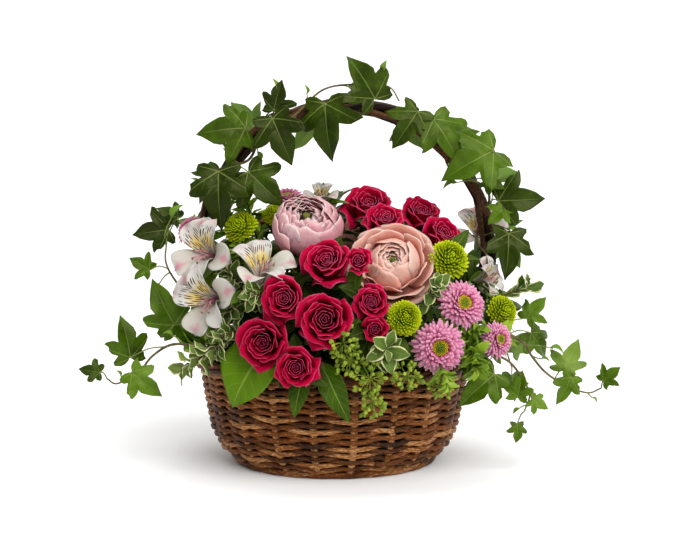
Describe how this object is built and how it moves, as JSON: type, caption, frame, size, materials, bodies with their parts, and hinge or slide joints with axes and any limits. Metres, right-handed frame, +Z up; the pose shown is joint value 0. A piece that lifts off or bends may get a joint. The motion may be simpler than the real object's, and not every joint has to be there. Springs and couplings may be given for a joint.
{
  "type": "flower basket arrangement",
  "caption": "Oval woven wicker basket with a hoop handle, filled with a domed arrangement of cut flowers and foliage, with ivy trailing over the handle and sides.",
  "frame": {"origin": "middle of the basket's underside, on the surface it stands on", "axes": "+Z up, -Y towards the front of the arrangement, +X to the right of the front, in the plane of the hoop handle"},
  "size_m": [0.4821, 0.2811, 0.366],
  "materials": {
    "wicker": "dark-stained willow, satin",
    "handle_vine": "bundled dark vine bark, matte",
    "liner_plastic": "thin dark green plastic",
    "foam": "wet open-celled foam",
    "rose_petal": "velvety deep pink petal",
    "pale_pink_petal": "soft pale pink petal",
    "peach_petal": "soft peach pink petal",
    "green_button_petal": "lime green petal",
    "aster_petal": "pink ray petals round a yellow-green disc",
    "alstroemeria_petal": "white petal with pink blotches and dark streaks",
    "broad_leaf": "bright green leathery leaf",
    "variegated_leaf": "grey-green leaf with a cream edge",
    "aster_leaf": "narrow soft green leaf",
    "eucalyptus_seed": "pale green seed heads",
    "ivy_leaf": "semi-gloss green leaf with pale veins"
  },
  "bodies": {
    "root": {"base_disc": "wicker", "foot_border": "wicker", "woven_side": "wicker", "rim_border": "wicker", "basket_liner": "liner_plastic", "floral_foam": "foam", "handle_hoop": "handle_vine", "rose_top": "rose_petal", "rose_top_low": "rose_petal", "rose_top_right": "rose_petal", "rose_shoulder": "rose_petal", "rose_spray_centre": "rose_petal", "rose_middle_left": "rose_petal", "rose_middle": "rose_petal", "rose_low_left": "rose_petal", "rose_low": "rose_petal", "rose_spray_right": "rose_petal", "rose_back_left": "rose_petal", "rose_back_right": "rose_petal", "ranunculus_pale": "pale_pink_petal", "ranunculus_peach": "peach_petal", "ranunculus_back": "peach_petal", "button_spray_left": "green_button_petal", "button_right": "green_button_petal", "button_middle": "green_button_petal", "button_far_right": "green_button_petal", "button_back": "green_button_petal", "aster_right": "aster_petal", "aster_low": "aster_petal", "aster_far_right": "aster_petal", "aster_top_left": "aster_petal", "aster_left": "aster_petal", "aster_back": "aster_petal", "alstroemeria_left": "alstroemeria_petal", "alstroemeria_middle": "alstroemeria_petal", "alstroemeria_right": "alstroemeria_petal", "alstroemeria_back": "alstroemeria_petal", "broad_leaf_front": "broad_leaf", "pointed_leaves_front": "broad_leaf", "broad_leaf_back_left": "broad_leaf", "broad_leaf_back_right": "broad_leaf", "pittosporum_left": "variegated_leaf", "pittosporum_middle": "variegated_leaf", "pittosporum_low": "variegated_leaf", "pittosporum_right_middle": "variegated_leaf", "pittosporum_right": "variegated_leaf", "pittosporum_back": "variegated_leaf", "aster_greens_right": "aster_leaf", "aster_greens_back": "aster_leaf", "seeded_eucalyptus_middle": "eucalyptus_seed", "seeded_eucalyptus_hanging": "eucalyptus_seed", "ivy_left": "ivy_leaf", "ivy_right": "ivy_leaf", "ivy_side_left": "ivy_leaf", "ivy_trail_left": "ivy_leaf", "ivy_trail_right": "ivy_leaf", "ivy_trail_low": "ivy_leaf", "ivy_back": "ivy_leaf"}
  },
  "joints": []
}
